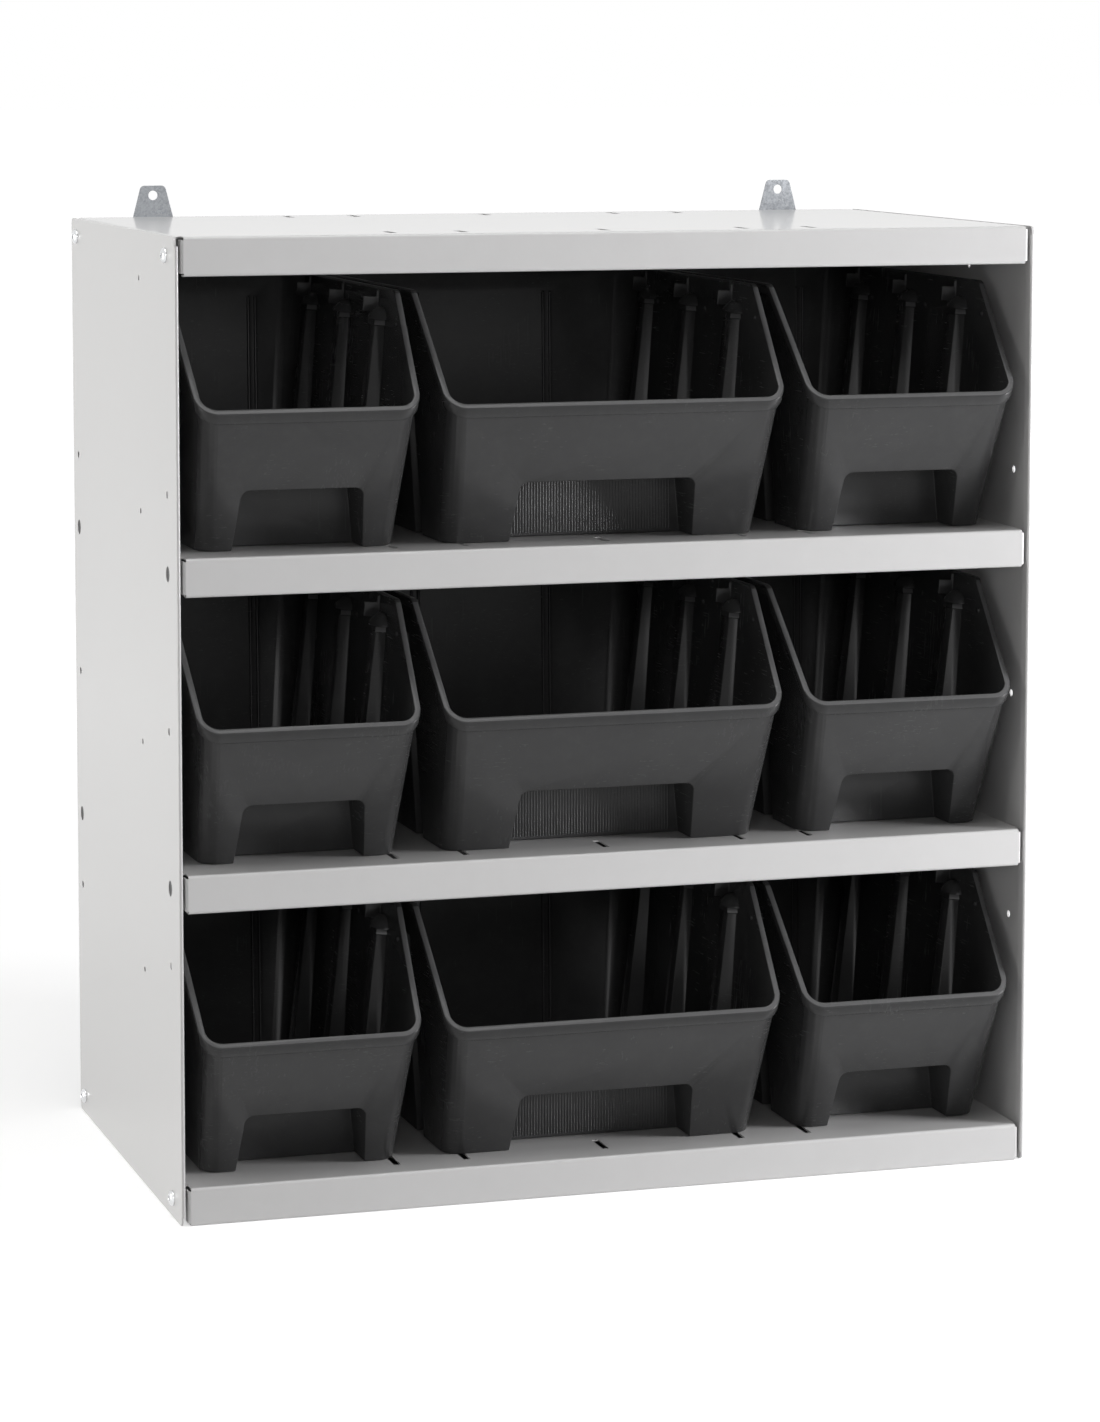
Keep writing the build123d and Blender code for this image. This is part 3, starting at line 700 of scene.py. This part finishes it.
def area_light(name, place, aim, size, watts, colour=(1, 1, 1)):
    """A rectangular lamp at a place, aimed at another."""
    lamp = bpy.data.lights.new(name, "AREA")
    lamp.shape = "RECTANGLE"
    lamp.size, lamp.size_y = size
    lamp.energy = watts
    lamp.color = colour
    obj = bpy.data.objects.new(name, lamp)
    bpy.context.scene.collection.objects.link(obj)
    obj.visible_camera = False
    obj.location = place
    way = Vector(aim) - Vector(place)
    obj.rotation_euler = way.to_track_quat("-Z", "Y").to_euler()


def studio():
    """The white floor, white surroundings for eyes alone, and four lamps."""
    mesh = bpy.data.meshes.new("floor")
    corners = [(x * FLOOR_HALF, y * FLOOR_HALF, 0) for x, y in ((-1, -1), (1, -1), (1, 1), (-1, 1))]
    mesh.from_pydata(corners, [], [(0, 1, 2, 3)])
    floor = new_piece("floor", mesh)
    wear(floor, floor_white())

    world = bpy.data.worlds.new("studio")
    world.use_nodes = True
    bpy.context.scene.world = world
    g = Graph(world.node_tree)
    g.tree.nodes.clear()
    dim = g.add("ShaderNodeBackground", {}, {"Color": (1, 1, 1, 1), "Strength": ROOM_LIGHT})
    white = g.add("ShaderNodeBackground", {}, {"Color": (1, 1, 1, 1), "Strength": 1.0})
    both = g.add("ShaderNodeMixShader", {}, {0: g.white_to_eyes(), 1: dim, 2: white})
    g.add("ShaderNodeOutputWorld", {}, {"Surface": both})

    area_light("key_right", (1.75, -0.98, 0.68), (0.1, -0.2, 0.4), (0.5, 1.0), 35, (0.985, 0.985, 1.0))
    area_light("front_fill", (-0.55, -2.8, 1.05), (0, -0.2, 0.4), (1.2, 0.4), 7, (1.0, 0.99, 1.0))
    area_light("left_fill", (-2.4, 0.15, 0.45), (-0.35, 0, 0.2), (1.4, 1.4), 24, (1.0, 0.99, 0.97))
    area_light("overhead", (0, -0.5, 2.6), (0, -0.2, 0.4), (1.7, 1.4), 24)


def camera():
    """The camera that took the photograph."""
    lens = bpy.data.cameras.new("camera")
    lens.lens = CAMERA_LENS
    lens.sensor_width = 36
    lens.shift_x, lens.shift_y = CAMERA_SHIFT
    lens.clip_end = 200
    obj = bpy.data.objects.new("camera", lens)
    bpy.context.scene.collection.objects.link(obj)
    obj.location = CAMERA_PLACE
    obj.rotation_euler = CAMERA_TURN
    bpy.context.scene.camera = obj


studio()
camera()
bpy.context.scene.view_settings.view_transform = "Standard"
